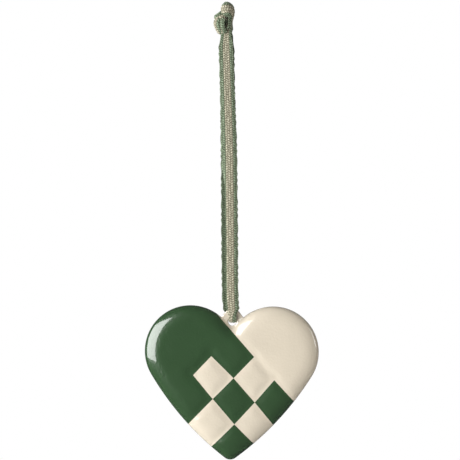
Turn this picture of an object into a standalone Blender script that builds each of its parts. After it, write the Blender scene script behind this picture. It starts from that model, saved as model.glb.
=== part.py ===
"""A painted metal heart ornament that hangs on a loop of woven ribbon.

Two stamped shells, joined at the rim, make a sealed, puffed heart with a woven square
pattern pressed into its faces. A flat ear in the cleft has the eye. One length of flat
ribbon goes through the eye, and its two strands rise to an overhand knot.

Metres, +Z up, the heart's front faces -Y. The origin is where a hook holds the loop,
between the two strands just under the knot.
"""

import math

import bmesh
import bpy
import numpy as np
from mathutils import Matrix, Vector
from mathutils.geometry import delaunay_2d_cdt

# Driving sizes
HEART_WIDTH = 0.080
HEART_THICKNESS = 0.0092
EYE_BORE = 0.0037
EAR_THICKNESS = 0.0016
EAR_BRIDGE = 0.0049
TAPE_WIDTH = 0.0074
TAPE_THICKNESS = 0.0009
CLEARANCE = 0.00035
TURN_SLACK = 1.3

# Where the eye hangs below the hook, and how far the heart is turned in its own plane
EYE_PLACE = Vector((0.0026, 0.0, -0.1277))
HEART_TILT = math.radians(0.9)

# The heart is a free form. Its figures are shares of its width, in eightieths of it, so
# that they read as millimetres at the real size. X is across and Z is up from the tip.
UNIT = HEART_WIDTH / 80
LOBE_RADIUS = 21.0 * UNIT
LOBE_HEIGHT = 49.7 * UNIT
FLANK_RADIUS = 136.0 * UNIT
TIP_RADIUS = 4.0 * UNIT
CLEFT_RADIUS = 2.0 * UNIT
RIM_ROUNDING = 7.0 * UNIT
CROWN_WIDTH = 20.0 * UNIT
CROWN_SHARE = 0.22

# The pressed weave: three lines that rise to the right, then three that fall to the right,
# each through the corners of the painted squares. The press sits a little off the paint.
WEAVE_LINES = (
    ((-17.6, 38.7), (-9.4, 47.6)),
    ((-19.5, 16.2), (-8.4, 27.9), (1.0, 37.6), (10.3, 47.5)),
    ((-8.7, 5.9), (1.7, 16.4), (10.9, 26.6), (19.7, 37.0)),
    ((-5.3, 64.9), (10.3, 47.5), (19.7, 37.0), (28.7, 27.5)),
    ((-9.4, 47.6), (1.0, 37.6), (10.9, 26.6), (19.5, 16.4)),
    ((-17.6, 38.7), (-8.4, 27.9), (1.7, 16.4), (10.4, 7.9)),
)
WEAVE_SHIFT = (-0.6, 0.6)
VALLEY_REACH = 2.4 * UNIT
VALLEY_DEPTH = 0.5 * UNIT

# How finely the front is divided along the rim, in the weave and on the plain lobes
RIM_STEP = 1.9 * UNIT
RIM_RINGS = (0.0, 0.25 * UNIT, 0.9 * UNIT, 2.1 * UNIT, 3.6 * UNIT)
WEAVE_STEP = 1.5 * UNIT
WEAVE_BAND = 4.4 * UNIT
PLAIN_STEP = 3.4 * UNIT
ON_RIM = 1e-7
SEAM_MERGE = 1e-5

# The ear around the eye: how far its shoulder is from the eye's centre, across and up, how
# deep its root goes into the heart, and how full its outline is at the shoulder and the crest
EAR_SHOULDER = (0.0054, 0.0014)
EAR_ROOT = (0.0046, -0.0075)
SHOULDER_FULLNESS = (0.72, 0.45)
CREST_FULLNESS = 0.32
EYE_ABOVE_CLEFT = 0.0028

# The ribbon's two strands, from inside the knot down to the ear: across, up, and the share
# of the ear's spacing that parts the two strands there
FRONT_STRAND = (
    (0.0001, 0.0100, 0.35),
    (0.0000, 0.0060, 0.35),
    (-0.0003, -0.0010, 0.42),
    (0.0000, -0.0110, 0.72),
    (0.0004, -0.0230, 0.90),
    (0.0011, -0.0450, 1.00),
    (0.0014, -0.0670, 1.10),
    (0.0016, -0.0890, 1.10),
    (0.0017, -0.1090, 1.10),
    (0.0019, -0.1180, 1.20),
)
BACK_STRAND = (
    (0.0003, 0.0100, 0.35),
    (0.0003, 0.0060, 0.35),
    (0.0002, -0.0010, 0.42),
    (0.0003, -0.0110, 0.72),
    (0.0005, -0.0230, 0.90),
    (0.0009, -0.0450, 1.00),
    (0.0011, -0.0670, 1.10),
    (0.0012, -0.0890, 1.10),
    (0.0014, -0.1090, 1.10),
    (0.0017, -0.1180, 1.20),
)
STRAND_STEP = 0.0040
TURN_STEPS = 10
RIBBON_COLUMNS = 6
SECTION_SQUARENESS = 6

# In the eye the ribbon is folded into a round-edged packet two layers thick. Its flat half
# width and its height above the eye's middle are the sides of a 3-4-5 triangle with the room
# that the eye leaves it. The ribbon narrows where the knot grips it.
PACKET_HALF = 1.05 * TAPE_THICKNESS
PACKET_SEAT = (0.8, 0.6)
GATHER_LENGTH = 0.0042
WAIST_WIDTH = 0.0048
WAIST_TOP = 0.0060
WAIST_LENGTH = 0.0085

# The overhand knot: a core, and the bands of ribbon that wrap it. The upper wrap goes right
# round it, and its tail runs down the right side. Each band has half its width, how far its
# edges turn in, the point that its inner face looks at, and its route.
CORE_PLACE = Vector((-0.0013, -0.0002, 0.0119))
CORE_SIZE = Vector((0.0040, 0.0031, 0.0050))
BAND_THICKNESS = 0.0011
KNOT_BANDS = {
    "upper_wrap": (
        0.0039,
        math.radians(52),
        (-0.0002, -0.0002, 0.0157),
        (
            (0.0004, 0.0036, 0.0146),
            (-0.0012, 0.0024, 0.0152),
            (-0.0023, -0.0004, 0.0157),
            (-0.0016, -0.0029, 0.0157),
            (0.0006, -0.0034, 0.0160),
            (0.0024, -0.0021, 0.0157),
            (0.0031, -0.0002, 0.0152),
            (0.0026, 0.0018, 0.0147),
            (0.0012, 0.0030, 0.0143),
        ),
    ),
    "wrap_tail": (
        0.0034,
        math.radians(45),
        (-0.0004, 0.0002, 0.0110),
        (
            (0.0018, -0.0010, 0.0158),
            (0.0028, -0.0006, 0.0138),
            (0.0027, -0.0002, 0.0120),
            (0.0023, 0.0001, 0.0100),
            (0.0014, 0.0004, 0.0066),
        ),
    ),
    "lower_wrap": (
        0.0035,
        math.radians(45),
        (-0.0009, 0.0004, 0.0125),
        (
            (-0.0020, 0.0030, 0.0102),
            (-0.0043, 0.0012, 0.0100),
            (-0.0043, -0.0016, 0.0103),
            (-0.0026, -0.0027, 0.0112),
            (-0.0008, -0.0020, 0.0122),
            (0.0006, -0.0004, 0.0130),
        ),
    ),
    "outer_fold": (
        0.0037,
        math.radians(105),
        (-0.0010, -0.0008, 0.0090),
        (
            (-0.0046, -0.0014, 0.0120),
            (-0.0054, -0.0019, 0.0106),
            (-0.0056, -0.0017, 0.0090),
            (-0.0048, -0.0010, 0.0068),
            (-0.0036, 0.0004, 0.0050),
            (-0.0018, 0.0016, 0.0052),
        ),
    ),
    "inner_fold": (
        0.0036,
        math.radians(100),
        (-0.0006, -0.0012, 0.0090),
        (
            (-0.0030, -0.0018, 0.0122),
            (-0.0037, -0.0020, 0.0108),
            (-0.0037, -0.0020, 0.0090),
            (-0.0033, -0.0015, 0.0070),
            (-0.0026, -0.0004, 0.0052),
        ),
    ),
}
BAND_STEP = 0.0020

GREEN_ENAMEL = (0.041, 0.087, 0.040, 1.0)
RIBBON_GREEN = (0.150, 0.230, 0.135, 1.0)
SMOOTH_ANGLE = math.radians(40)


def clear_scene():
    for thing in list(bpy.data.objects):
        bpy.data.objects.remove(thing, do_unlink=True)


def new_collection(name):
    made = bpy.data.collections.new(name)
    bpy.context.scene.collection.children.link(made)
    return made


def new_material(name, colour, roughness, metallic):
    made = bpy.data.materials.new(name)
    made.use_nodes = True
    shader = made.node_tree.nodes["Principled BSDF"]
    shader.inputs["Base Color"].default_value = colour
    shader.inputs["Roughness"].default_value = roughness
    shader.inputs["Metallic"].default_value = metallic
    made.diffuse_color = colour
    return made


def new_object(name, data, home):
    thing = bpy.data.objects.new(name, data)
    home.objects.link(thing)
    return thing


def solid_from_curve(thing, home):
    """The curve object as a mesh object in the same place, with its caps welded on."""
    seen = thing.evaluated_get(bpy.context.evaluated_depsgraph_get())
    made = bpy.data.meshes.new_from_object(seen)
    shape = bmesh.new()
    shape.from_mesh(made)
    bmesh.ops.remove_doubles(shape, verts=shape.verts, dist=ON_RIM)
    shape.to_mesh(made)
    shape.free()
    solid = new_object(thing.name + "_solid", made, home)
    solid.matrix_world = thing.matrix_world
    bpy.data.objects.remove(thing, do_unlink=True)
    return solid


def as_guide(thing):
    thing.hide_render = True
    thing.display_type = "WIRE"
    return thing


def move_to(thing, home):
    for other in list(thing.users_collection):
        other.objects.unlink(thing)
    home.objects.link(thing)


def combine(thing, other, operation, folded=False):
    """Adds or cuts another solid. A folded one may cross itself."""
    boolean = thing.modifiers.new(other.name, "BOOLEAN")
    boolean.operation = operation
    boolean.solver = "EXACT"
    boolean.use_self = folded
    boolean.object = as_guide(other)


def arc(centre, radius, start, end, step):
    """Points along an arc, both ends included, about a step apart."""
    count = max(2, math.ceil(abs(end - start) * radius / step))
    angles = np.linspace(start, end, count + 1)
    return np.stack([centre[0] + radius * np.cos(angles), centre[1] + radius * np.sin(angles)], 1)


def flank_centre(lobe, tip):
    """The centre of the flank's arc, which the lobe's arc and the tip's arc both touch."""
    from_lobe = FLANK_RADIUS - LOBE_RADIUS
    from_tip = FLANK_RADIUS - TIP_RADIUS
    across = tip - lobe
    apart = across.length
    along = (from_lobe**2 - from_tip**2 + apart**2) / (2 * apart)
    aside = math.sqrt(from_lobe**2 - along**2)
    forward = across / apart
    return lobe + forward * along - Vector((-forward.y, forward.x)) * aside


def lobe_centre():
    return Vector((HEART_WIDTH / 2 - LOBE_RADIUS, LOBE_HEIGHT))


def cleft_fillet():
    """The centre and the radius of the arc that touches both lobes. It also spans any gap
    that the lobes leave between them."""
    lobe = lobe_centre()
    gap = max(0.0, lobe.x - LOBE_RADIUS)
    radius = CLEFT_RADIUS + gap
    rise = math.sqrt((LOBE_RADIUS + radius) ** 2 - lobe.x**2)
    return Vector((0.0, lobe.y + rise)), radius


def heart_outline(step, inset=0.0):
    """The heart's outline, pulled in by an inset, as points that run once round it from the
    tip. Half of it is four arcs that touch: tip, flank, lobe and the fillet in the cleft."""
    lobe = lobe_centre()
    tip = Vector((0.0, TIP_RADIUS))
    flank = flank_centre(lobe, tip)
    cleft, cleft_radius = cleft_fillet()
    tip_end = math.atan2(tip.y - flank.y, tip.x - flank.x)
    lobe_start = math.atan2(lobe.y - flank.y, lobe.x - flank.x)
    lobe_end = math.atan2(cleft.y - lobe.y, cleft.x - lobe.x)
    pieces = (
        arc(tip, TIP_RADIUS - inset, -math.pi / 2, tip_end, step),
        arc(flank, FLANK_RADIUS - inset, tip_end, lobe_start, step),
        arc(lobe, LOBE_RADIUS - inset, lobe_start, lobe_end, step),
        arc(cleft, cleft_radius + inset, lobe_end - math.pi, -math.pi / 2, step / 2),
    )
    half = np.concatenate([pieces[0]] + [piece[1:] for piece in pieces[1:]])
    other = half[-2:0:-1] * (-1, 1)
    return np.concatenate([half, other])


def eye_in_heart():
    """The eye's centre, as a height above the tip."""
    cleft, cleft_radius = cleft_fillet()
    return cleft.y - cleft_radius + EYE_ABOVE_CLEFT


def soft_distance(points, outline):
    """A smooth distance to the outline: nought on it, and with no crease in the middle. The
    inverse cube of the distance is summed along every side in closed form."""
    side = np.roll(outline, -1, axis=0) - outline
    length = np.hypot(side[:, 0], side[:, 1])
    along = side / length[:, None]
    away = points[:, None, :] - outline[None]
    first = -(away * along[None]).sum(2)
    last = first + length[None]
    height = np.abs(away[:, :, 0] * along[None, :, 1] - away[:, :, 1] * along[None, :, 0])
    height = np.maximum(height, ON_RIM)
    at_last = last / (height**2 * np.hypot(height, last))
    at_first = first / (height**2 * np.hypot(height, first))
    return np.sqrt(2 / (at_last - at_first).sum(1))


def rounded(share):
    """A quarter ellipse: steep where the share is nought and flat from one on."""
    return np.sqrt(1 - (1 - np.clip(share, 0, 1)) ** 2)


def line_distance(points, line):
    """How far each point is from a line of straight stretches."""
    nearest = np.full(len(points), np.inf)
    for start, end in zip(line[:-1], line[1:]):
        stretch = end - start
        share = np.clip(((points - start) @ stretch) / (stretch @ stretch), 0, 1)
        gap = points - (start + share[:, None] * stretch)
        nearest = np.minimum(nearest, np.hypot(gap[:, 0], gap[:, 1]))
    return nearest


def weave_lines():
    return [(np.array(line) + WEAVE_SHIFT) * UNIT for line in WEAVE_LINES]


def pillow(points):
    """One on top of the pressed squares, and less in the soft valleys between them."""
    height = np.ones(len(points))
    for line in weave_lines():
        height *= 1 - np.exp(-((line_distance(points, line) / VALLEY_REACH) ** 2))
    return height


def front_depth(points, outline):
    """How far the front face stands out from the heart's middle plane."""
    inside = soft_distance(points, outline)
    puff = (1 - CROWN_SHARE) * rounded(inside / RIM_ROUNDING)
    puff += CROWN_SHARE * rounded(inside / CROWN_WIDTH)
    pressed = VALLEY_DEPTH * (1 - pillow(points)) * rounded(inside / RIM_ROUNDING)
    return puff * HEART_THICKNESS / 2 - pressed


def is_inside(points, outline):
    """Whether each point is inside the outline, by the angle that the outline sweeps."""
    away = outline[None] - points[:, None, :]
    after = np.roll(away, -1, axis=1)
    cross = away[:, :, 0] * after[:, :, 1] - away[:, :, 1] * after[:, :, 0]
    dot = (away * after).sum(2)
    return np.abs(np.arctan2(cross, dot).sum(1)) > math.pi


def filling(ring, step, in_weave):
    """Points on a slanted grid inside a ring, in the weave or on the plain lobes."""
    reach = math.ceil(HEART_WIDTH / step)
    steps = np.arange(-reach, reach + 1)
    first, second = np.meshgrid(steps, steps)
    slanted = np.stack([(first + second).ravel(), (first - second).ravel()], 1)
    grid = slanted * step / math.sqrt(2) + (0.0, LOBE_HEIGHT)
    gap = np.min([line_distance(grid, line) for line in weave_lines()], axis=0)
    grid = grid[(gap < WEAVE_BAND) == in_weave]
    closed = np.concatenate([ring, ring[:1]])
    return grid[is_inside(grid, ring) & (line_distance(grid, closed) > step / 2)]


def heart_shell(home):
    """The heart's front shell as an open surface, mirrored at its rim into the whole."""
    rings = [heart_outline(RIM_STEP, inset) for inset in RIM_RINGS]
    edges = []
    first = 0
    for ring in rings:
        count = len(ring)
        edges += [(first + i, first + (i + 1) % count) for i in range(count)]
        first += count
    middle = [filling(rings[-1], WEAVE_STEP, True), filling(rings[-1], PLAIN_STEP, False)]
    points = [Vector(point) for point in np.concatenate(rings + middle)]
    flat, _, faces, *_ = delaunay_2d_cdt(points, edges, [], 1, ON_RIM)
    places = np.array(flat)
    depth = front_depth(places, rings[0])
    depth[line_distance(places, np.concatenate([rings[0], rings[0][:1]])) < ON_RIM] = 0.0
    mesh = bpy.data.meshes.new("heart")
    mesh.from_pydata([(x, -y, z) for (x, z), y in zip(places, depth)], [], faces)
    heart = new_object("heart", mesh, home)
    mirror = heart.modifiers.new("back shell", "MIRROR")
    mirror.use_axis = (False, True, False)
    mirror.merge_threshold = SEAM_MERGE
    return heart


def ear_solid(home):
    """The flat ear, whose pointed top bridges the eye. Its outline is drawn around the eye."""
    top = EYE_BORE / 2 + EAR_BRIDGE
    across, up = EAR_SHOULDER
    root_across, root_up = EAR_ROOT
    middle_up = (up + root_up) / 2
    bend_across = across * SHOULDER_FULLNESS[0]
    bend_up = up + (top - up) * SHOULDER_FULLNESS[1]
    crest = across * CREST_FULLNESS
    knots = (
        ((root_across, root_up), (root_across, root_up), (root_across, root_up / 2)),
        ((across, up), (across, middle_up), (bend_across, bend_up)),
        ((0.0, top), (crest, top), (-crest, top)),
        ((-across, up), (-bend_across, bend_up), (-across, middle_up)),
        ((-root_across, root_up), (-root_across, root_up / 2), (-root_across, root_up)),
    )
    curve = bpy.data.curves.new("ear", "CURVE")
    curve.dimensions = "2D"
    curve.fill_mode = "BOTH"
    curve.extrude = EAR_THICKNESS / 2
    curve.resolution_u = 6
    spline = curve.splines.new("BEZIER")
    spline.use_cyclic_u = True
    spline.bezier_points.add(len(knots) - 1)
    for point, (place, before, after) in zip(spline.bezier_points, knots):
        point.co = (*place, 0)
        point.handle_left = (*before, 0)
        point.handle_right = (*after, 0)
    ear = new_object("ear", curve, home)
    ear.matrix_world = heart_frame() @ Matrix.Rotation(math.pi / 2, 4, "X")
    bpy.context.view_layer.update()
    return solid_from_curve(ear, home)


def eye_cutter(home):
    bpy.ops.mesh.primitive_cylinder_add(
        vertices=32,
        radius=EYE_BORE / 2,
        depth=HEART_THICKNESS,
        location=EYE_PLACE,
        rotation=(math.pi / 2, 0, 0),
    )
    cutter = bpy.context.object
    cutter.name = "eye_cutter"
    move_to(cutter, home)
    return cutter


def heart_frame():
    """The place of the eye, turned as the heart is."""
    return Matrix.Translation(EYE_PLACE) @ Matrix.Rotation(HEART_TILT, 4, "Y")


def smooth(thing):
    thing.data.shade_smooth()
    thing.data.set_sharp_from_angle(angle=SMOOTH_ANGLE)


def make_heart(parts, cutters):
    heart = heart_shell(parts)
    heart.matrix_world = heart_frame() @ Matrix.Translation((0, 0, -eye_in_heart()))
    smooth(heart)
    combine(heart, ear_solid(cutters), "UNION")
    combine(heart, eye_cutter(cutters), "DIFFERENCE")
    heart.data.materials.append(new_material("green_enamel", GREEN_ENAMEL, 0.15, 0.0))


def curve_through(points, step):
    """Points about a step apart on a smooth curve through the given ones."""
    ends = [2 * points[0] - points[1], *points, 2 * points[-1] - points[-2]]
    line = []
    for before, start, end, after in zip(ends, ends[1:], ends[2:], ends[3:]):
        count = max(1, round((end - start).length / step))
        for i in range(count):
            t = i / count
            line.append(
                start
                + (end - before) * (t / 2)
                + (2 * before - 5 * start + 4 * end - after) * (t**2 / 2)
                + (3 * start - before - 3 * end + after) * (t**3 / 2)
            )
    line.append(points[-1])
    return line


def eye_room():
    """How far the middle of the packet's round edge may be from the middle of the eye."""
    return EYE_BORE / 2 - CLEARANCE - PACKET_HALF


def turn_radius():
    """From the middle of the ear's bridge to the middle of the packet that goes round it."""
    return EAR_THICKNESS / 2 + TURN_SLACK * CLEARANCE + PACKET_HALF


def turn_centre():
    """The packet sits in the top of the eye, where its two round edges touch the clearance."""
    return EYE_PLACE + Vector((0, 0, PACKET_SEAT[1] * eye_room() + turn_radius()))


def ribbon_line():
    """The ribbon's middle line with the way its face looks: down in front, round through the
    eye, and up behind."""
    spacing = EAR_THICKNESS / 2 + CLEARANCE + TAPE_THICKNESS / 2
    radius = turn_radius()
    centre = turn_centre()
    front = [Vector((x, -share * spacing, z)) for x, z, share in FRONT_STRAND]
    back = [Vector((x, share * spacing, z)) for x, z, share in reversed(BACK_STRAND)]
    down = curve_through(front + [centre + Vector((0, -radius, 0))], STRAND_STEP)
    up = curve_through([centre + Vector((0, radius, 0))] + back, STRAND_STEP)
    line = [(place, Vector((0, -1, 0))) for place in down]
    for i in range(1, TURN_STEPS):
        angle = math.pi * i / TURN_STEPS
        out = Vector((0, -math.cos(angle), -math.sin(angle)))
        line.append((centre + out * radius, out))
    return line + [(place, Vector((0, 1, 0))) for place in up]


def ease(share):
    share = min(max(share, 0.0), 1.0)
    return share * share * (3 - 2 * share)


def ribbon_size(height):
    """Half the ribbon's width and half its thickness at a height: flat along a strand, narrowed
    where the knot grips it, and folded into the packet in the eye."""
    packed = 1 - ease((height - turn_centre().z) / GATHER_LENGTH)
    gripped = ease(1 + (height - WAIST_TOP) / WAIST_LENGTH)
    half = TAPE_WIDTH / 2 + (WAIST_WIDTH - TAPE_WIDTH) / 2 * gripped
    packet = PACKET_SEAT[0] * eye_room() + PACKET_HALF
    thick = TAPE_THICKNESS / 2
    return half + (packet - half) * packed, thick + (PACKET_HALF - thick) * packed


def ribbon_ring(place, side, out, half, thick, turned_in):
    """The points once round the ribbon's section, whose edges may turn in on an arc."""
    ring = []
    for i in range(2 * RIBBON_COLUMNS):
        turn = math.pi * i / RIBBON_COLUMNS
        across = math.cos(turn)
        lift = math.copysign(thick * math.sqrt(1 - across**SECTION_SQUARENESS), math.sin(turn))
        slope = across * turned_in
        if turned_in:
            radius = half / turned_in
            x = (radius + lift) * math.sin(slope)
            y = (radius + lift) * math.cos(slope) - radius
        else:
            x, y = across * half, lift
        ring.append(place + side * x + out * y)
    return ring


def tube(name, rings, home):
    """A closed solid through rings of points."""
    shape = bmesh.new()
    rows = [[shape.verts.new(point) for point in ring] for ring in rings]
    count = len(rows[0])
    for row, following in zip(rows, rows[1:]):
        for i in range(count):
            j = (i + 1) % count
            shape.faces.new((row[i], row[j], following[j], following[i]))
    shape.faces.new(rows[0][::-1])
    shape.faces.new(rows[-1])
    bmesh.ops.recalc_face_normals(shape, faces=shape.faces)
    bmesh.ops.triangulate(shape, faces=shape.faces)
    mesh = bpy.data.meshes.new(name)
    shape.to_mesh(mesh)
    shape.free()
    return new_object(name, mesh, home)


def ribbon_loop(home):
    side = Vector((1, 0, 0))
    rings = []
    for place, out in ribbon_line():
        half, thick = ribbon_size(place.z)
        rings.append(ribbon_ring(place, side, out, half, thick, 0))
    return tube("ribbon", rings, home)


def knot_band(name, half, turned_in, middle, route, home):
    """A band of the knot, along its route and around the middle that it wraps."""
    line = curve_through([Vector(point) for point in route], BAND_STEP)
    rings = []
    for before, place, after in zip([line[0], *line], line, [*line[1:], line[-1]]):
        along = (after - before).normalized()
        away = place - Vector(middle)
        out = (away - along * away.dot(along)).normalized()
        rings.append(ribbon_ring(place, along.cross(out), out, half, BAND_THICKNESS / 2, turned_in))
    return tube(name, rings, home)


def knot_core(home):
    bpy.ops.mesh.primitive_uv_sphere_add(segments=16, ring_count=10, radius=1, location=CORE_PLACE)
    core = bpy.context.object
    core.name = "knot_core"
    core.data.transform(Matrix.Diagonal((*CORE_SIZE, 1)))
    move_to(core, home)
    return core


def make_ribbon(parts, cutters):
    ribbon = ribbon_loop(parts)
    combine(ribbon, knot_core(cutters), "UNION")
    for name, (half, turned_in, middle, route) in KNOT_BANDS.items():
        band = knot_band(name, half, turned_in, middle, route, cutters)
        combine(ribbon, band, "UNION", folded=True)
    smooth(ribbon)
    ribbon.data.materials.append(new_material("ribbon_cotton", RIBBON_GREEN, 0.9, 0.0))


def main():
    clear_scene()
    parts = new_collection("heart_ornament")
    cutters = new_collection("cutters")
    make_heart(parts, cutters)
    make_ribbon(parts, cutters)


main()
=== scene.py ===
"""The look of a painted metal heart ornament on a woven ribbon, built round its CAD frame.

Metres throughout. Lengths that end in _MM are written in millimetres and turned into
metres where they are used.
"""

import math
from collections import namedtuple

import bmesh
import bpy
import numpy as np
from mathutils import Matrix, Vector
from mathutils.geometry import delaunay_2d_cdt


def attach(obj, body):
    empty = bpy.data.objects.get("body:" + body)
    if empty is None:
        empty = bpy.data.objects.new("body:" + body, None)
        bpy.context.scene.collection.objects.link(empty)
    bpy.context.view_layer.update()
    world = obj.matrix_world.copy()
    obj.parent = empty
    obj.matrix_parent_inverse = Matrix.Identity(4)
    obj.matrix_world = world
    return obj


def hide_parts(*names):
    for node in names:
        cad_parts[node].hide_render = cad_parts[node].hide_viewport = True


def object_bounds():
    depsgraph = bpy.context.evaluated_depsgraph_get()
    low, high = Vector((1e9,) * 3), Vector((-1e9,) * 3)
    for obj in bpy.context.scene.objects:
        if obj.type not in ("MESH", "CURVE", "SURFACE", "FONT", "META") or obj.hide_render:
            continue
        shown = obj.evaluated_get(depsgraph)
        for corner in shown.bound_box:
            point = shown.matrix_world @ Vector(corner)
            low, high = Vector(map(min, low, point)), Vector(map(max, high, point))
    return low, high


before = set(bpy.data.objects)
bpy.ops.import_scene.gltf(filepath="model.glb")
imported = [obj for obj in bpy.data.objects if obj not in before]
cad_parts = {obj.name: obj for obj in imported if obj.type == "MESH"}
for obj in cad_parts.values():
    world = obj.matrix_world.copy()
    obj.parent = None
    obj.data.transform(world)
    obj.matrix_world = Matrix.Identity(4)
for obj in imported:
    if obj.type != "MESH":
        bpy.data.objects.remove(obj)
cad_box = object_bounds()

MM = 0.001

# The photograph's frame: the real size of a pixel, where in it the origin is, and its side
PIXEL = 0.46 * MM
HOOK_AT = (226.6, 44.0)
IMAGE_SIDE = 460
CAMERA_DISTANCE = 1.6
CLIP_RANGE = (0.01, 20.0)

# Sizes shared with the CAD model. The packet is the ribbon as it lies folded in the eye, and
# its seat is the share of the room above it that it is raised by.
HEART_WIDTH = 80.0 * MM
HEART_THICKNESS = 9.2 * MM
EYE_BORE = 3.7 * MM
EYE_ABOVE_CLEFT = 2.8 * MM
EAR_THICKNESS = 1.6 * MM
EAR_BRIDGE = 4.9 * MM
TAPE_WIDTH = 7.4 * MM
TAPE_THICKNESS = 0.9 * MM
PACKET_HALF = 1.05 * TAPE_THICKNESS
PACKET_SEAT = 0.6
CLEARANCE = 0.35 * MM
TURN_SLACK = 1.3
EYE_PLACE = Vector((2.6 * MM, 0.0, -127.7 * MM))
HEART_TILT = math.radians(0.9)
LOBE_RADIUS = 21.0 * MM
LOBE_HEIGHT = 49.7 * MM
FLANK_RADIUS = 136.0 * MM
TIP_RADIUS = 4.0 * MM
CLEFT_RADIUS = 2.0 * MM
RIM_ROUNDING = 7.0 * MM
CROWN_WIDTH = 20.0 * MM
CROWN_SHARE = 0.22

# The ear's outline: its shoulder and root from the eye's centre, and how full it is above them
EAR_SHOULDER = (5.4 * MM, 1.4 * MM)
EAR_ROOT = (4.6 * MM, -7.5 * MM)
SHOULDER_FULLNESS = (0.72, 0.45)
CREST_FULLNESS = 0.32
EAR_SIDE_STEPS = 12
EAR_CREST_STEPS = 24
EDGE_ROUNDING = 0.45 * MM

# The corners of the painted squares, along each line of the weave, up from the heart's tip
RISING_LINES_MM = (
    ((-17.6, 38.7), (-9.4, 47.6)),
    ((-19.5, 16.2), (-8.4, 27.9), (1.0, 37.6), (10.3, 47.5)),
    ((-8.7, 5.9), (1.7, 16.4), (10.9, 26.6), (19.7, 37.0)),
)
FALLING_LINES_MM = (
    ((-5.3, 64.9), (10.3, 47.5), (19.7, 37.0), (28.7, 27.5)),
    ((-9.4, 47.6), (1.0, 37.6), (10.9, 26.6), (19.5, 16.4)),
    ((-17.6, 38.7), (-8.4, 27.9), (1.7, 16.4), (10.4, 7.9)),
)
PAINT_OVERRUN = 3.0 * MM

# The valleys pressed along those lines, a little beside the paint
PRESS_SHIFT_MM = (-0.6, 0.6)
VALLEY_REACH = 2.4 * MM
VALLEY_DEPTH = 0.5 * MM

# How finely the heart is meshed: the step, how near a loose point may be to a line, and the
# gaps of the rows inside its rims, where a row keeps what is at least a share of its gap away
MESH_STEP = 0.52 * MM
LOOSE_GAP = MESH_STEP / 3
NEAR_RIM = (0.06 * MM, 0.18 * MM, 0.38 * MM, 0.68 * MM)
ROW_SHARE = 0.8

# How the heart is measured: the step of the outline that the puff rises from, the height of
# the point that the whole outline is seen from, how near is on a line, the smallest sum that
# is divided by, and how many points are measured at once
PUFF_STEP = 1.2 * MM
HUB_HEIGHT = 45.0 * MM
ON_LINE = 1e-7
SMALLEST_SUM = 1e-9
BLOCK = 2000

# The ribbon's route, as in the CAD model: across, up, and the share of the ear's spacing
FRONT_STRAND = (
    (0.0001, 0.0100, 0.35),
    (0.0000, 0.0060, 0.35),
    (-0.0003, -0.0010, 0.42),
    (0.0000, -0.0110, 0.72),
    (0.0004, -0.0230, 0.90),
    (0.0011, -0.0450, 1.00),
    (0.0014, -0.0670, 1.10),
    (0.0016, -0.0890, 1.10),
    (0.0017, -0.1090, 1.10),
    (0.0019, -0.1180, 1.20),
)
BACK_STRAND = (
    (0.0003, 0.0100, 0.35),
    (0.0003, 0.0060, 0.35),
    (0.0002, -0.0010, 0.42),
    (0.0003, -0.0110, 0.72),
    (0.0005, -0.0230, 0.90),
    (0.0009, -0.0450, 1.00),
    (0.0011, -0.0670, 1.10),
    (0.0012, -0.0890, 1.10),
    (0.0014, -0.1090, 1.10),
    (0.0017, -0.1180, 1.20),
)

# How the knot grips the ribbon: its width in the grip, the height down to which that holds,
# and the length over which it widens out
WAIST_WIDTH = 4.8 * MM
WAIST_TOP = 6.0 * MM
WAIST_LENGTH = 8.5 * MM

# How much narrower the ribbon is below the knot, and the heights where it widens again
NARROWED_BY = 0.6 * MM
NARROW_HEIGHTS = (-10.0 * MM, -50.0 * MM)

# How far each half of the ribbon bows back, and the heights between which it starts to
BOW_ANGLE = math.radians(17)
BOW_HEIGHTS = (-4.0 * MM, -20.0 * MM)

# How the ribbon's left border curls back lower down: where across it bends, the length of the
# bend, how far it turns, and the heights between which it starts and is complete
CURL_FROM = 1.5 * MM
CURL_BEND = 0.6 * MM
CURL_ANGLE = math.radians(125)
CURL_HEIGHTS = (-50.0 * MM, -75.0 * MM)

# How the ribbon folds into the eye: its left part goes behind and its right edge bends back.
# Each bend has where across it starts, its length and its angle.
FOLD_HEIGHTS = (-121.3 * MM, -126.2 * MM)
FOLD_SHIFT = 1.45 * MM
FOLD_LEFT = (0.75 * MM, 1.5 * MM, math.pi)
FOLD_RIGHT = (1.05 * MM, 0.9 * MM, math.radians(75))
FOLD_WIDTH = 6.6 * MM
FOLD_DEPTH = 2 * FOLD_LEFT[1] / math.pi

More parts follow.
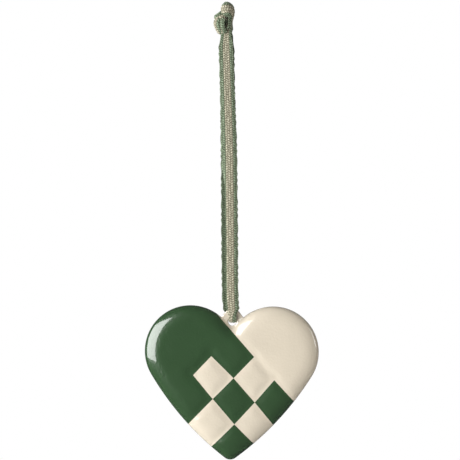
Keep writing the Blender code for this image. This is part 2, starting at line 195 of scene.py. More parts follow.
# The knot's bands: half the width, how far the edges turn in, the point that the inner face
# looks at, and the route. The upper wrap runs on into the tail at the knot's right.
KNOT_BANDS = {
    "upper_wrap": (
        0.0039,
        math.radians(52),
        (-0.0002, -0.0002, 0.0157),
        (
            (0.0004, 0.0036, 0.0146),
            (-0.0012, 0.0024, 0.0152),
            (-0.0023, -0.0004, 0.0157),
            (-0.0016, -0.0029, 0.0157),
            (0.0006, -0.0034, 0.0160),
            (0.0023, -0.0021, 0.0155),
            (0.0031, -0.0005, 0.0136),
            (0.0025, 0.0002, 0.0105),
            (0.0016, 0.0004, 0.0066),
        ),
    ),
    "lower_wrap": (
        0.0035,
        math.radians(45),
        (-0.0009, 0.0004, 0.0125),
        (
            (-0.0020, 0.0030, 0.0102),
            (-0.0043, 0.0012, 0.0100),
            (-0.0043, -0.0016, 0.0103),
            (-0.0026, -0.0027, 0.0112),
            (-0.0008, -0.0020, 0.0122),
            (0.0006, -0.0004, 0.0130),
        ),
    ),
    "outer_fold": (
        0.0037,
        math.radians(105),
        (-0.0010, -0.0008, 0.0090),
        (
            (-0.0046, -0.0014, 0.0120),
            (-0.0054, -0.0019, 0.0106),
            (-0.0056, -0.0017, 0.0090),
            (-0.0048, -0.0010, 0.0068),
            (-0.0036, 0.0004, 0.0050),
            (-0.0018, 0.0016, 0.0052),
        ),
    ),
    "inner_fold": (
        0.0036,
        math.radians(100),
        (-0.0006, -0.0012, 0.0090),
        (
            (-0.0030, -0.0018, 0.0122),
            (-0.0037, -0.0020, 0.0108),
            (-0.0037, -0.0020, 0.0090),
            (-0.0033, -0.0015, 0.0070),
            (-0.0026, -0.0004, 0.0052),
        ),
    ),
}

# The pass of ribbon deep inside the knot: its two ends, its depth and its width
CORE_ENDS = ((0.2 * MM, 17.0 * MM), (0.2 * MM, 6.5 * MM))
CORE_DEPTH = 1.2 * MM
CORE_WIDTH = 5.4 * MM

# The weave of the ribbon: each column's width and yarn, from the left selvedge
COLUMNS = (
    (0.85 * MM, "green"),
    (1.20 * MM, "green"),
    (1.10 * MM, "beige"),
    (1.10 * MM, "beige"),
    (1.10 * MM, "beige"),
    (1.20 * MM, "green"),
    (0.85 * MM, "green"),
)
SAMPLES_ACROSS = 5
SAMPLES_ALONG = 5
BEND_SAMPLES = 90

# The stitches: their relief, the height in it that lies on the ribbon's face, how steep their
# sides are along the ribbon and across it, and how square the ribbon's section is
STITCH_PITCH = 1.1 * MM
STITCH_HEIGHT = 0.24 * MM
STITCH_SLANT = 0.45
YARN_LEVEL = 0.8
STITCH_POWER = 1.1
GROOVE_POWER = 0.6
GROOVE_REACH = (0.03, 0.97)
SECTION_SQUARENESS = 8

# How uneven the weave is: the length over which it drifts, how far the stitches slip in
# shares of a stitch, how much lower the weakest ones are and how much faster that drifts.
# The steps are how far out of step, in radians, neighbouring columns are in each.
UNEVEN_LENGTH = 2.3 * MM
UNEVEN_SLIP = 0.17
SLIP_STEP = 2.1
UNEVEN_HEIGHT = 0.35
WEAK_RATE = 1.7
WEAK_STEP = 2.9

# The selvedges: the outer share of each half that bulges, how far it does, how far it
# wanders in shares of that, over what length, and how many radians that rhythm drifts
SELVEDGE_SHARE = 0.25
SELVEDGE_BULGE = 0.14 * MM
SELVEDGE_WANDER = 1.1
WANDER_LENGTH = 0.68 * MM
WANDER_DRIFT = 2.0

# The yarns, and the shares of their colour where a stitch goes under, which is painted shade in the
# gaps, and where it is highest, which is painted light on the stitch tops. The yarn's height is
# spread over the range, and patches of noise add to it by the weight.
YARN_COLOURS = {
    "green": (0.285, 0.375, 0.258, 1.0),
    "beige": (0.62, 0.605, 0.47, 1.0),
    # The reverse yarns are the ribbon's back face: partly its own darker reverse and partly painted
    # shade, for the back strand and the curled border in shadow.
    "green_reverse": (0.19, 0.26, 0.17, 1.0),
    "beige_reverse": (0.42, 0.41, 0.31, 1.0),
}
YARN_SURFACE = {"Roughness": 0.9, "Sheen Weight": 0.2, "Specular IOR Level": 0.15}
YARN_GAP_SHADE = (0.23, 0.215, 0.185)
YARN_TOP_LIGHT = (1.15, 1.15, 1.15)
YARN_RANGE = (-0.35, 0.85)
PATCH_WEIGHT = 0.5

# The enamel, its darkest and lightest tones as shares of its colour, and its roughness
ENAMEL_COLOURS = {
    "cream_enamel": (0.765, 0.695, 0.575, 1.0),
    "green_enamel": (0.031, 0.077, 0.029, 1.0),
}
ENAMEL_SURFACE = {"IOR": 1.5, "Coat Weight": 1.0, "Coat Roughness": 0.05, "Coat IOR": 1.65}
ENAMEL_LOW = (0.93, 0.93, 0.93)
ENAMEL_HIGH = (1.07, 1.07, 1.07)
ENAMEL_ROUGHNESS = (0.16, 0.30)

# Noise in the materials: its scale, detail and roughness
YARN_PATCHES = (900.0, 4.0, 0.7)
YARN_FUZZ = (5200.0, 2.0, 0.5)
ENAMEL_TONES = (60.0, 4.0, 0.5)
ENAMEL_GLOSS = (260.0, 3.0, 0.5)
ENAMEL_RIPPLES = (900.0, 2.0, 0.5)

# Bumps in the materials: their strength and depth
YARN_BUMP = (0.35, 0.08 * MM)
ENAMEL_BUMP = (1.0, 0.1 * MM)

# The sockets of a node that mixes two colours
MIX_FACTOR, MIX_FIRST, MIX_SECOND, MIX_RESULT = 0, 6, 7, 2

# The lights: place, size, power, colour, and whether the diffuse and the glossy rays see them
SOFT_WHITE = (1.0, 0.98, 0.95)
PURE_WHITE = (1.0, 1.0, 1.0)
WARM_WHITE = (1.0, 0.86, 0.64)
LIGHTS = {
    "softbox": ((-1.05, -0.65, 0.05), (1.5, 1.3), 30.0, SOFT_WHITE, (True, False)),
    "softbox_gloss": ((-1.0, -0.62, 0.14), (1.5, 1.12), 33.0, PURE_WHITE, (False, True)),
    "fill": ((-0.7, -1.9, 0.5), (1.6, 1.2), 4.6, SOFT_WHITE, (True, False)),
    "warm_fill": ((1.3, -0.5, -0.1), (1.0, 1.0), 2.8, WARM_WHITE, (True, False)),
    "rim": ((0.9, -0.10, 0.1), (0.06, 0.5), 0.8, PURE_WHITE, (True, True)),
    "back_fill": ((0.5, 1.7, 0.1), (1.6, 1.2), 14.0, SOFT_WHITE, (True, False)),
}
LIGHT_TARGET = Vector((0.0, 0.0, -0.12))

# The white behind the object and the dim room that lights it
BACKGROUND = {"Color": (1.0, 1.0, 1.0, 1.0), "Strength": 1.0}
ROOM = {"Color": (0.93, 0.95, 1.0, 1.0), "Strength": 0.10}

# The round floor, and how far it is below the object
FLOOR_RADIUS = 0.5
FLOOR_SIDES = 96
FLOOR_DROP = 0.12
FLOOR_SURFACE = {"Base Color": (0.93, 0.93, 0.92, 1.0), "Roughness": 0.8}

# A section of the ribbon: its width, how far both its sides turn in, which place across lies
# on the line, how far outward it is moved, and the bends of its left and of its right side
Section = namedtuple(
    "Section", "width turned_in shift offset left_bends right_bends", defaults=(0.0, 0.0, 0.0, (), ())
)


def new_object(name, data):
    thing = bpy.data.objects.new(name, data)
    bpy.context.collection.objects.link(thing)
    return thing


def add_camera():
    data = bpy.data.cameras.new("camera")
    camera = new_object("camera", data)
    middle = IMAGE_SIDE / 2
    x = (middle - HOOK_AT[0]) * PIXEL
    z = (HOOK_AT[1] - middle) * PIXEL
    camera.location = (x, -CAMERA_DISTANCE, z)
    camera.rotation_euler = (math.pi / 2, 0, 0)
    data.lens = data.sensor_width * CAMERA_DISTANCE / (IMAGE_SIDE * PIXEL)
    data.clip_start, data.clip_end = CLIP_RANGE
    bpy.context.scene.camera = camera


def set_inputs(node, values):
    for name, value in values.items():
        node.inputs[name].default_value = value


def new_material(name, surface):
    made = bpy.data.materials.new(name)
    made.use_nodes = True
    shader = made.node_tree.nodes["Principled BSDF"]
    set_inputs(shader, surface)
    return made, made.node_tree, shader


def toned(colour, shares):
    """A colour with each of its channels at a share."""
    return (*(channel * share for channel, share in zip(colour, shares)), 1.0)


def mixed_colour(tree, shader, factor, first, second):
    mix = tree.nodes.new("ShaderNodeMix")
    mix.data_type = "RGBA"
    mix.inputs[MIX_FIRST].default_value = first
    mix.inputs[MIX_SECOND].default_value = second
    tree.links.new(factor, mix.inputs[MIX_FACTOR])
    tree.links.new(mix.outputs[MIX_RESULT], shader.inputs["Base Color"])


def noise(tree, scale, detail, roughness):
    place = tree.nodes.new("ShaderNodeTexCoord")
    made = tree.nodes.new("ShaderNodeTexNoise")
    set_inputs(made, {"Scale": scale, "Detail": detail, "Roughness": roughness})
    tree.links.new(place.outputs["Object"], made.inputs["Vector"])
    return made.outputs[0]


def ramp(tree, value, low, high):
    made = tree.nodes.new("ShaderNodeMapRange")
    set_inputs(made, {"To Min": low, "To Max": high})
    tree.links.new(value, made.inputs["Value"])
    return made.outputs[0]


def bump(tree, shader, height, strength, distance):
    made = tree.nodes.new("ShaderNodeBump")
    set_inputs(made, {"Strength": strength, "Distance": distance})
    tree.links.new(height, made.inputs["Height"])
    tree.links.new(made.outputs[0], shader.inputs["Normal"])


def yarn_material(name, colour):
    """Fuzzy yarn, painted darker and browner where a stitch goes under as shade in the gaps, and
    lighter on the stitch tops.
    """
    made, tree, shader = new_material(name, YARN_SURFACE)
    height = tree.nodes.new("ShaderNodeAttribute")
    height.attribute_name = "yarn_height"
    raised = tree.nodes.new("ShaderNodeMath")
    raised.operation = "MULTIPLY_ADD"
    raised.use_clamp = True
    raised.inputs[1].default_value = PATCH_WEIGHT
    tree.links.new(noise(tree, *YARN_PATCHES), raised.inputs[0])
    tree.links.new(ramp(tree, height.outputs["Fac"], *YARN_RANGE), raised.inputs[2])
    # Painted shade darkens the gaps between stitches and painted light brightens the stitch tops
    low, high = toned(colour, YARN_GAP_SHADE), toned(colour, YARN_TOP_LIGHT)
    mixed_colour(tree, shader, raised.outputs[0], low, high)
    bump(tree, shader, noise(tree, *YARN_FUZZ), *YARN_BUMP)
    return made


def enamel_material(name, colour):
    """Glossy enamel under a clear coat, with faint tones and ripples."""
    made, tree, shader = new_material(name, ENAMEL_SURFACE)
    low, high = toned(colour, ENAMEL_LOW), toned(colour, ENAMEL_HIGH)
    mixed_colour(tree, shader, noise(tree, *ENAMEL_TONES), low, high)
    gloss = ramp(tree, noise(tree, *ENAMEL_GLOSS), *ENAMEL_ROUGHNESS)
    tree.links.new(gloss, shader.inputs["Roughness"])
    bump(tree, shader, noise(tree, *ENAMEL_RIPPLES), *ENAMEL_BUMP)
    return made


def length_along(points):
    """How far along a line each of its points is."""
    steps = np.linalg.norm(np.diff(points, axis=0), axis=1)
    return np.concatenate([[0], np.cumsum(steps)])


def ease(share):
    """A smooth step from 0 to 1."""
    share = np.clip(share, 0.0, 1.0)
    return share * share * (3 - 2 * share)


def curve_through(points):
    """Points a stitch sample apart on a smooth curve through the given ones."""
    ends = [2 * points[0] - points[1], *points, 2 * points[-1] - points[-2]]
    line = []
    for before, start, end, after in zip(ends, ends[1:], ends[2:], ends[3:]):
        count = max(1, round((end - start).length * SAMPLES_ALONG / STITCH_PITCH))
        for i in range(count):
            t = i / count
            line.append(
                start
                + (end - before) * (t / 2)
                + (2 * before - 5 * start + 4 * end - after) * (t**2 / 2)
                + (3 * start - before - 3 * end + after) * (t**3 / 2)
            )
    line.append(points[-1])
    return line


def loop_line():
    """The ribbon's middle line with the way its face looks: down in front, round through the
    eye, and up behind."""
    spacing = EAR_THICKNESS / 2 + CLEARANCE + TAPE_THICKNESS / 2
    eye_room = EYE_BORE / 2 - CLEARANCE - PACKET_HALF
    radius = EAR_THICKNESS / 2 + TURN_SLACK * CLEARANCE + PACKET_HALF
    centre = EYE_PLACE + Vector((0, 0, PACKET_SEAT * eye_room + radius))
    front = [Vector((x, -share * spacing, z)) for x, z, share in FRONT_STRAND]
    back = [Vector((x, share * spacing, z)) for x, z, share in reversed(BACK_STRAND)]
    down = curve_through(front + [centre + Vector((0, -radius, 0))])
    up = curve_through([centre + Vector((0, radius, 0))] + back)
    line = [(place, Vector((0, -1, 0))) for place in down]
    turns = round(math.pi * radius * SAMPLES_ALONG / STITCH_PITCH)
    for i in range(1, turns):
        angle = math.pi * i / turns
        out = Vector((0, -math.cos(angle), -math.sin(angle)))
        line.append((centre + out * radius, out))
    return line + [(place, Vector((0, 1, 0))) for place in up]


def directions_along(line):
    """A line's places and, at each, the outward and the sideways direction across it."""
    places = np.array([tuple(place) for place, _ in line])
    outs = np.array([tuple(out) for _, out in line])
    along = np.gradient(places, axis=0)
    along /= np.linalg.norm(along, axis=1)[:, None]
    outs -= (outs * along).sum(1)[:, None] * along
    outs /= np.linalg.norm(outs, axis=1)[:, None]
    return places, outs, np.cross(outs, along)


def column_samples():
    """Where the ribbon's section is sampled: the share of its half width, the place in its
    column from 0 to 1, and the column's number."""
    shares, inside, number = [], [], []
    edge = -TAPE_WIDTH / 2
    for column, (width, _) in enumerate(COLUMNS):
        for i in range(SAMPLES_ACROSS):
            place = (i + 0.5) / SAMPLES_ACROSS
            shares.append((edge + place * width) / (TAPE_WIDTH / 2))
            inside.append(place)
            number.append(column)
        edge += width
    return np.array(shares), np.array(inside), np.array(number)


def stitch_relief(along, inside, number, face):
    """How far the yarn stands out, from 0 to 1: slanted stitches, half a stitch apart in
    neighbouring columns and a little uneven."""
    slant = np.where(number % 2 == 0, STITCH_SLANT, -STITCH_SLANT) * face
    drift = along / UNEVEN_LENGTH
    slip = UNEVEN_SLIP * np.sin(drift + SLIP_STEP * number)
    phase = along / STITCH_PITCH + 0.5 * (number % 2) + slant * (inside - 0.5) + slip
    wave = np.abs(np.sin(math.pi * phase)) ** STITCH_POWER
    groove = np.sin(math.pi * np.clip(inside, *GROOVE_REACH)) ** GROOVE_POWER
    weak = UNEVEN_HEIGHT * (0.5 + 0.5 * np.sin(WEAK_RATE * drift + WEAK_STEP * number))
    return wave * groove * (1 - weak)


def edge_wander(along, shares):
    """How far the selvedges wander, in shares of their bulge."""
    drift = WANDER_DRIFT * np.sin(along / UNEVEN_LENGTH)
    return SELVEDGE_WANDER * np.sin(along / WANDER_LENGTH + drift + shares)


def bent_side(distance, turned_in, bends):
    """Half a section: how far out, how far in and at what slope it is, at distances from its
    middle. The whole of it turns in evenly, and each bend turns its own stretch in further."""
    fine = np.linspace(0, max(distance), BEND_SAMPLES)
    slope = turned_in * fine / (TAPE_WIDTH / 2)
    for start, length, angle in bends:
        slope += angle * np.clip((fine - start) / length, 0, 1)
    step = fine[1]
    x = np.concatenate([[0], np.cumsum(np.cos((slope[1:] + slope[:-1]) / 2)) * step])
    y = np.concatenate([[0], np.cumsum(np.sin((slope[1:] + slope[:-1]) / 2)) * step])
    return [np.interp(distance, fine, values) for values in (x, y, slope)]


def section_curve(section, shares):
    """A section's middle line: how far across, how far in and at what slope each sample is."""
    across = shares * section.width / 2 - section.shift
    x, y, slope = np.empty((3, len(shares)))
    left = (across < 0, section.left_bends, -1)
    right = (across >= 0, section.right_bends, 1)
    for half, bends, sign in (left, right):
        reach, depth, lean = bent_side(np.abs(across[half]), section.turned_in, bends)
        x[half], y[half], slope[half] = sign * reach, depth, sign * lean
    return x, y, slope


def woven_rings(line, sections):
    """The ribbon's surface along a line of places and outward directions, with the height of
    its yarn. Each ring goes across the outer face and back across the inner one."""
    shares, inside, number = column_samples()
    places, outs, sides = directions_along(line)
    thin = np.sqrt(1 - np.abs(shares) ** SECTION_SQUARENESS)
    border = np.clip(1 - (1 - np.abs(shares)) / SELVEDGE_SHARE, 0, 1)
    selvedge = SELVEDGE_BULGE * np.sign(shares) * border
    rings, heights = [], []
    for place, out, side, along, section in zip(places, outs, sides, length_along(places), sections):
        x, y, slope = section_curve(section, shares)
        wander = edge_wander(along, shares)
        ring, height = [], []
        for face in (1, -1):
            yarn = stitch_relief(along, inside, number, face)
            lift = face * (TAPE_THICKNESS / 2 + STITCH_HEIGHT * (yarn - YARN_LEVEL)) * thin
            sideways = x + lift * np.sin(slope) + selvedge * (yarn + wander)
            outward = section.offset + lift * np.cos(slope) - y
            points = place + sideways[:, None] * side + outward[:, None] * out
            ring.append(points[::face])
            height.append(yarn[::face])
        rings.append(np.concatenate(ring))
        heights.append(np.concatenate(height))
    return rings, heights


def yarn_slots():
    """The material's number for each side of a ring: the outer face, then the reverse, whose darker
    colours are partly painted shade.
    """
    names = list(YARN_COLOURS)
    yarns = [COLUMNS[number][1] for number in column_samples()[2]]
    outer = [names.index(yarn) for yarn in yarns]
    return outer + [names.index(f"{yarn}_reverse") for yarn in reversed(yarns)]


def woven_mesh(name, tubes, materials):
    """One mesh of closed woven tubes, with the height of the yarn kept for the material."""
    ring_slots = yarn_slots()
    count = len(ring_slots)
    points, faces, slots, heights = [], [], [], []
    for rings, ring_heights in tubes:
        first = len(points)
        last = first + (len(rings) - 1) * count
        points += [tuple(point) for ring in rings for point in ring]
        heights += [height for ring in ring_heights for height in ring]
        for here in range(first, last, count):
            for i, slot in enumerate(ring_slots):
                j = (i + 1) % count
                faces.append((here + i, here + count + i, here + count + j, here + j))
                slots.append(slot)
        start_cap = tuple(range(first, first + count))
        end_cap = tuple(reversed(range(last, last + count)))
        faces += [start_cap, end_cap]
        slots += [0, 0]
    mesh = bpy.data.meshes.new(name)
    mesh.from_pydata(points, [], faces)
    mesh.polygons.foreach_set("material_index", slots)
    mesh.attributes.new("yarn_height", "FLOAT", "POINT").data.foreach_set("value", heights)
    mesh.shade_smooth()
    for material in materials:
        mesh.materials.append(material)
    thing = new_object(name, mesh)
    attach(thing, "root")
    return thing


def part_way(height, heights):
    """From 0 at the first of two heights to 1 at the second, which is lower."""
    start, end = heights
    return float(ease((start - height) / (start - end)))


def partly(bend, share):
    """A bend that turns by only a share of its angle."""
    start, length, angle = bend
    return start, length, angle * share


def loop_section(place, curl):
    """The ribbon's section at a place, with its left border curled or not."""
    gripped = float(ease(1 + (place.z - WAIST_TOP) / WAIST_LENGTH))
    folded = part_way(place.z, FOLD_HEIGHTS)
    width = TAPE_WIDTH - NARROWED_BY * (1 - part_way(place.z, NARROW_HEIGHTS))
    width += (WAIST_WIDTH - width) * gripped
    width += (FOLD_WIDTH - width) * folded
    shift = FOLD_SHIFT * folded
    bow = BOW_ANGLE * part_way(place.z, BOW_HEIGHTS) * (1 - folded)
    curled = curl * part_way(place.z, CURL_HEIGHTS) * (1 - folded)
    left = ((CURL_FROM + shift, CURL_BEND, CURL_ANGLE * curled), partly(FOLD_LEFT, folded))
    right = (partly(FOLD_RIGHT, folded),)
    return Section(width, bow, shift, FOLD_DEPTH / 2 * folded, left, right)


def knot_band(half_width, turned_in, middle, route):
    line = curve_through([Vector(point) for point in route])
    facing = [(place, place - Vector(middle)) for place in line]
    return woven_rings(facing, [Section(2 * half_width, turned_in)] * len(line))


def knot_core():
    """The ribbon's inner pass, a plain roll deep inside the knot."""
    line = curve_through([Vector((x, CORE_DEPTH, z)) for x, z in CORE_ENDS])
    facing = [(place, Vector((0, -1, 0))) for place in line]
    return woven_rings(facing, [Section(CORE_WIDTH)] * len(line))


def knot(yarns):
    bands = [knot_band(*band) for band in KNOT_BANDS.values()]
    return woven_mesh("ribbon_knot", bands + [knot_core()], yarns)


def ribbon():
    line = loop_line()
    sections = [loop_section(place, float(out.y < 0)) for place, out in line]
    yarns = [yarn_material(f"{name}_yarn", colour) for name, colour in YARN_COLOURS.items()]
    thing = woven_mesh("ribbon_loop", [woven_rings(line, sections)], yarns)
    places = [place for place, _ in line]
    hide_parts("ribbon")
    length = sum((b - a).length for a, b in zip(places, places[1:]))
    tuple(places[0])
    [tuple(place) for place in places]
    knot(yarns)


def arc(centre, radius, start, end, step):
    """Points along an arc, both ends included, about a step apart."""
    count = max(2, math.ceil(abs(end - start) * radius / step))
    angles = np.linspace(start, end, count + 1)
    return np.stack([centre[0] + radius * np.cos(angles), centre[1] + radius * np.sin(angles)], 1)


def bezier(start, first, second, end, count):
    t = np.linspace(0, 1, count + 1)[:, None]
    weights = ((1 - t) ** 3, 3 * t * (1 - t) ** 2, 3 * t**2 * (1 - t), t**3)
    return sum(weight * np.array(p) for weight, p in zip(weights, (start, first, second, end)))


def closed_ring(points):
    """A ring's points with the first one again at the end."""
    return np.concatenate([points, points[:1]])


def lobe_centre():
    return Vector((HEART_WIDTH / 2 - LOBE_RADIUS, LOBE_HEIGHT))


def cleft_centre():
    lobe = lobe_centre()
    return Vector((0.0, lobe.y + math.sqrt((LOBE_RADIUS + CLEFT_RADIUS) ** 2 - lobe.x**2)))


def flank_centre(lobe, tip):
    """The centre of the flank's arc, which runs smoothly into the lobe's and the tip's."""
    from_lobe = FLANK_RADIUS - LOBE_RADIUS
    from_tip = FLANK_RADIUS - TIP_RADIUS
    across = tip - lobe
    apart = across.length
    along = (from_lobe**2 - from_tip**2 + apart**2) / (2 * apart)
    aside = math.sqrt(from_lobe**2 - along**2)
    forward = across / apart
    return lobe + forward * along - Vector((-forward.y, forward.x)) * aside


def eye_height():
    return cleft_centre().y - CLEFT_RADIUS + EYE_ABOVE_CLEFT


def heart_outline(step):
    """The heart without its ear: tip, flank, lobe and cleft arcs, mirrored."""
    lobe, tip, cleft = lobe_centre(), Vector((0.0, TIP_RADIUS)), cleft_centre()
    flank = flank_centre(lobe, tip)
    tip_end = math.atan2(tip.y - flank.y, tip.x - flank.x)
    lobe_start = math.atan2(lobe.y - flank.y, lobe.x - flank.x)
    lobe_end = math.atan2(cleft.y - lobe.y, cleft.x - lobe.x)
    pieces = (
        arc(tip, TIP_RADIUS, -math.pi / 2, tip_end, step),
        arc(flank, FLANK_RADIUS, tip_end, lobe_start, step),
        arc(lobe, LOBE_RADIUS, lobe_start, lobe_end, step),
        arc(cleft, CLEFT_RADIUS, lobe_end - math.pi, -math.pi / 2, step / 2),
    )
    half = np.concatenate([pieces[0]] + [piece[1:] for piece in pieces[1:]])
    return np.concatenate([half, half[-2:0:-1] * (-1, 1)])


def ear_outline():
    """The ear's outline around the eye, from its right root over the top to the left one."""
    top = EYE_BORE / 2 + EAR_BRIDGE
    across, up = EAR_SHOULDER
    root_across, root_up = EAR_ROOT
    below = ((root_across, root_up / 2), (across, (up + root_up) / 2))
    side = bezier(EAR_ROOT, *below, EAR_SHOULDER, EAR_SIDE_STEPS)
    full_across, full_up = SHOULDER_FULLNESS
    above = ((across * full_across, up + (top - up) * full_up), (across * CREST_FULLNESS, top))
    crest = bezier(EAR_SHOULDER, *above, (0.0, top), EAR_CREST_STEPS)
    half = np.concatenate([side, crest[1:]]) + (0.0, eye_height())
    return np.concatenate([half, half[-2::-1] * (-1, 1)])


def polar(points, hub):
    """The points' angles around a hub and their distances, in the order of the angles."""
    away = points - hub
    turn = np.arctan2(away[:, 1], away[:, 0])
    order = np.argsort(turn)
    return turn[order], np.hypot(away[:, 0], away[:, 1])[order]


def whole_outline(step):
    """Heart and ear in one outline: the further of the two, seen from inside the heart."""
    hub = np.array((0.0, HUB_HEIGHT))
    turn, reach = polar(heart_outline(step / 4), hub)
    ear_turn, ear_reach = polar(ear_outline(), hub)
    around = np.sort(np.concatenate([turn, ear_turn]))
    body = np.interp(around, turn, reach, period=2 * math.pi)
    ear = np.interp(around, ear_turn, ear_reach, left=0, right=0)
    far = np.maximum(body, ear)
    dense = closed_ring(hub + np.stack([far * np.cos(around), far * np.sin(around)], 1))
    length = length_along(dense)
    wanted = np.linspace(0, length[-1], round(length[-1] / step), endpoint=False)
    return np.stack([np.interp(wanted, length, dense[:, axis]) for axis in (0, 1)], 1)


def in_blocks(points, measure):
    """What a measure gives for many points, taken in blocks to save memory."""
    blocks = [measure(points[i : i + BLOCK]) for i in range(0, len(points), BLOCK)]
    return np.concatenate(blocks)


def soft_distance(points, outline):
    """A smooth distance to the outline, from the inverse cube summed along its sides."""
    side = np.roll(outline, -1, axis=0) - outline
    length = np.hypot(side[:, 0], side[:, 1])
    along = side / length[:, None]

    def measure(block):
        away = block[:, None, :] - outline[None]
        first = -(away * along[None]).sum(2)
        last = first + length[None]
        height = np.abs(away[:, :, 0] * along[None, :, 1] - away[:, :, 1] * along[None, :, 0])
        height = np.maximum(height, ON_LINE)
        at_last = last / (height**2 * np.hypot(height, last))
        at_first = first / (height**2 * np.hypot(height, first))
        return np.sqrt(2 / np.maximum((at_last - at_first).sum(1), SMALLEST_SUM))

    return in_blocks(points, measure)


def line_distance(points, line):
    """How far each point is from the nearest stretch of a line."""
    nearest = np.full(len(points), np.inf)
    for start, end in zip(line[:-1], line[1:]):
        stretch = end - start
        share = np.clip(((points - start) @ stretch) / (stretch @ stretch), 0, 1)
        gap = points - (start + share[:, None] * stretch)
        nearest = np.minimum(nearest, np.hypot(gap[:, 0], gap[:, 1]))
    return nearest


def eye_distance(points):
    return np.hypot(points[:, 0], points[:, 1] - eye_height())


def is_inside(points, outline):
    """Which points the outline goes round, from the angles that its sides are seen under."""

    def measure(block):
        away = outline[None] - block[:, None, :]
        after = np.roll(away, -1, axis=1)
        cross = away[:, :, 0] * after[:, :, 1] - away[:, :, 1] * after[:, :, 0]
        return np.abs(np.arctan2(cross, (away * after).sum(2)).sum(1)) > math.pi

    return in_blocks(points, measure)


def rounded(share):
    """A quarter circle's rise from 0 to 1."""
    return np.sqrt(1 - (1 - np.clip(share, 0, 1)) ** 2)


def body_depth(points):
    """How far the puffed body stands out, pressed in along the lines of the weave."""
    outline = heart_outline(PUFF_STEP)
    depth = np.zeros(len(points))
    in_body = is_inside(points, outline)
    inner = points[in_body]
    inside = soft_distance(inner, outline)
    rim = rounded(inside / RIM_ROUNDING)
    puff = (1 - CROWN_SHARE) * rim + CROWN_SHARE * rounded(inside / CROWN_WIDTH)
    pillow = np.ones(len(inside))
    for line in RISING_LINES_MM + FALLING_LINES_MM:
        pressed = (np.array(line) + PRESS_SHIFT_MM) * MM
        pillow *= 1 - np.exp(-((line_distance(inner, pressed) / VALLEY_REACH) ** 2))
    depth[in_body] = puff * HEART_THICKNESS / 2 - VALLEY_DEPTH * (1 - pillow) * rim
    return depth


def ear_depth(points):
    """How far the flat ear stands out, rounded at its edge and around the eye."""
    outline = ear_outline()
    from_edge = line_distance(points, closed_ring(outline))
    from_bore = np.abs(eye_distance(points) - EYE_BORE / 2)
    depth = EAR_THICKNESS / 2 * rounded(np.minimum(from_edge, from_bore) / EDGE_ROUNDING)
    depth[~is_inside(points, outline)] = 0
    return depth


def line_height(across, line):
    """A line's height at a place across, run straight on past its ends."""
    x, z = line[:, 0], line[:, 1]
    before = z[0] + (across - x[0]) * (z[1] - z[0]) / (x[1] - x[0])
    after = z[-1] + (across - x[-1]) * (z[-1] - z[-2]) / (x[-1] - x[-2])
    return np.where(across < x[0], before, np.where(across > x[-1], after, np.interp(across, x, z)))


def lines_above(points, lines):
    """How many of the lines pass above each point."""
    return sum(points[:, 1] < line_height(points[:, 0], np.array(line) * MM) for line in lines)


def is_green(points):
    """The woven checker: the left lobe is green, the right lobe cream, the squares take turns."""
    column = lines_above(points, FALLING_LINES_MM)
    row = lines_above(points, RISING_LINES_MM)
    return (column > 0) & ((row == 0) | ((row + column) % 2 == 0))


def painted_line(line):
    """A paint edge as points a mesh step apart, run straight on past both its ends."""
    line = [Vector(point) * MM for point in line]
    line[0] += (line[0] - line[1]).normalized() * PAINT_OVERRUN
    line[-1] += (line[-1] - line[-2]).normalized() * PAINT_OVERRUN
    points = []
    for start, end in zip(line, line[1:]):
        count = max(1, round((end - start).length / MESH_STEP))
        points += [start.lerp(end, i / count) for i in range(count)]
    return np.array(points + [line[-1]])


def rim_rows(ring, sign):
    """Rows of points just inside a rim, so that its round edge is smooth. The sign is 1 for
    the outline and -1 for the eye."""
    ahead = np.roll(ring, -1, axis=0) - np.roll(ring, 1, axis=0)
    ahead /= np.hypot(ahead[:, 0], ahead[:, 1])[:, None]
    inward = np.stack([-ahead[:, 1], ahead[:, 0]], 1) * sign
    rows = []
    for gap in NEAR_RIM:
        row = ring + inward * gap
        rows.append(row[line_distance(row, closed_ring(ring)) > ROW_SHARE * gap])
    return rows


def filling(outline):
    """A slanted grid of points over the heart, clear of the rows inside its rim."""
    reach = math.ceil(HEART_WIDTH / MESH_STEP)
    steps = np.arange(-reach, reach + 1)
    first, second = np.meshgrid(steps, steps)
    slanted = np.stack([(first + second).ravel(), (first - second).ravel()], 1)
    grid = slanted * MESH_STEP / math.sqrt(2) + (0.0, LOBE_HEIGHT)
    low, high = outline.min(0), outline.max(0)
    grid = grid[((grid > low) & (grid < high)).all(1)]
    return grid[line_distance(grid, closed_ring(outline)) > NEAR_RIM[-1] + LOOSE_GAP]


def in_metal(points, outline):
    """Which points are inside the outline and outside the eye."""
    return is_inside(points, outline) & (eye_distance(points) > EYE_BORE / 2)


def add_line(points, edges, line, closed):
    """Add a line's points, and the edges from each one to the next."""
    first, count = len(points), len(line)
    points += [Vector(point) for point in line]
    edges += [(first + i, first + (i + 1) % count) for i in range(count if closed else count - 1)]


def flat_front():
    """The heart's front laid flat: its points, its triangles and its rims. Mesh edges follow
    the rims and the paint edges."""
    outline = whole_outline(MESH_STEP)
    bore = arc((0.0, eye_height()), EYE_BORE / 2, 0, 2 * math.pi, MESH_STEP / 2)[:-1]
    rims = (closed_ring(outline), closed_ring(bore))
    paint = [painted_line(line) for line in RISING_LINES_MM + FALLING_LINES_MM]
    points, edges = [], []
    for ring in (outline, bore):
        add_line(points, edges, ring, True)
    for line in paint:
        add_line(points, edges, line, False)
    loose = np.concatenate(rim_rows(outline, 1) + rim_rows(bore, -1) + [filling(outline)])
    keep = in_metal(loose, outline)
    for line in paint:
        keep &= line_distance(loose, line) > LOOSE_GAP
    points += [Vector(point) for point in loose[keep]]
    flat, _, faces, *_ = delaunay_2d_cdt(points, edges, [], 0, ON_LINE)
    places, corners = np.array(flat), np.array(faces)
    return places, corners[in_metal(places[corners].mean(1), outline)], rims


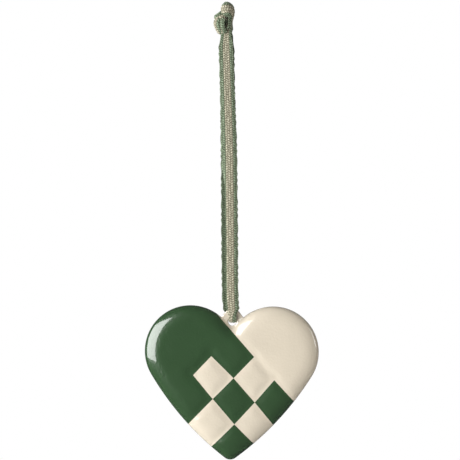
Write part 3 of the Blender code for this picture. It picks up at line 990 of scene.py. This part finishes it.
def add_back(shape):
    """The front's mirror image, joined to it along the rims."""
    unused = [vertex for vertex in shape.verts if not vertex.link_faces]
    bmesh.ops.delete(shape, geom=unused, context="VERTS")
    front = shape.verts[:] + shape.edges[:] + shape.faces[:]
    back = bmesh.ops.duplicate(shape, geom=front)["geom"]
    for thing in back:
        if isinstance(thing, bmesh.types.BMVert):
            thing.co.y = -thing.co.y
    turned = [thing for thing in back if isinstance(thing, bmesh.types.BMFace)]
    bmesh.ops.reverse_faces(shape, faces=turned)
    rim = [vertex for vertex in shape.verts if vertex.co.y == 0]
    bmesh.ops.remove_doubles(shape, verts=rim, dist=ON_LINE)
    bmesh.ops.recalc_face_normals(shape, faces=shape.faces)


def heart_place():
    """From the upright heart, with the origin at its tip, to where it hangs."""
    to_eye = Matrix.Translation((0, 0, -eye_height()))
    return Matrix.Translation(EYE_PLACE) @ Matrix.Rotation(HEART_TILT, 4, "Y") @ to_eye


def heart():
    places, corners, rims = flat_front()
    # The cubes let the ear flow into the body
    depth = np.cbrt(body_depth(places) ** 3 + ear_depth(places) ** 3)
    for rim in rims:
        depth[line_distance(places, rim) < ON_LINE] = 0
    mesh = bpy.data.meshes.new("heart_shell")
    mesh.from_pydata([(x, -y, z) for (x, z), y in zip(places, depth)], [], corners.tolist())
    for name, colour in ENAMEL_COLOURS.items():
        mesh.materials.append(enamel_material(name, colour))
    green = is_green(places[corners].mean(1))
    mesh.polygons.foreach_set("material_index", green.astype(np.int32))
    shape = bmesh.new()
    shape.from_mesh(mesh)
    add_back(shape)
    shape.transform(heart_place())
    shape.to_mesh(mesh)
    shape.free()
    mesh.shade_smooth()
    thing = new_object("heart_shell", mesh)
    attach(thing, "root")
    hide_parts("heart")


def floor():
    shape = bmesh.new()
    bmesh.ops.create_circle(shape, cap_ends=True, segments=FLOOR_SIDES, radius=FLOOR_RADIUS)
    mesh = bpy.data.meshes.new("floor")
    shape.to_mesh(mesh)
    shape.free()
    material, _, _ = new_material("floor", FLOOR_SURFACE)
    mesh.materials.append(material)
    thing = new_object("floor", mesh)
    thing.location.z = cad_box[0][2] - FLOOR_DROP
    thing.visible_glossy = False


def area_light(name, place, size, power, colour, seen_by):
    data = bpy.data.lights.new(name, "AREA")
    data.shape = "RECTANGLE"
    data.size, data.size_y = size
    data.energy = power
    data.color = colour
    light = new_object(name, data)
    light.location = place
    light.rotation_euler = (LIGHT_TARGET - Vector(place)).to_track_quat("-Z", "Y").to_euler()
    light.visible_diffuse, light.visible_glossy = seen_by


def studio():
    """White behind the object, a dim room around it, and soft lights."""
    scene = bpy.context.scene
    scene.view_settings.view_transform = "Standard"
    scene.world = bpy.data.worlds.new("studio")
    scene.world.use_nodes = True
    tree = scene.world.node_tree
    white = tree.nodes["Background"]
    set_inputs(white, BACKGROUND)
    room = tree.nodes.new("ShaderNodeBackground")
    set_inputs(room, ROOM)
    rays = tree.nodes.new("ShaderNodeLightPath")
    mix = tree.nodes.new("ShaderNodeMixShader")
    tree.links.new(rays.outputs["Is Camera Ray"], mix.inputs[0])
    tree.links.new(room.outputs[0], mix.inputs[1])
    tree.links.new(white.outputs[0], mix.inputs[2])
    tree.links.new(mix.outputs[0], tree.nodes["World Output"].inputs["Surface"])
    for name, light in LIGHTS.items():
        area_light(name, *light)


add_camera()
ribbon()
heart()
floor()
studio()
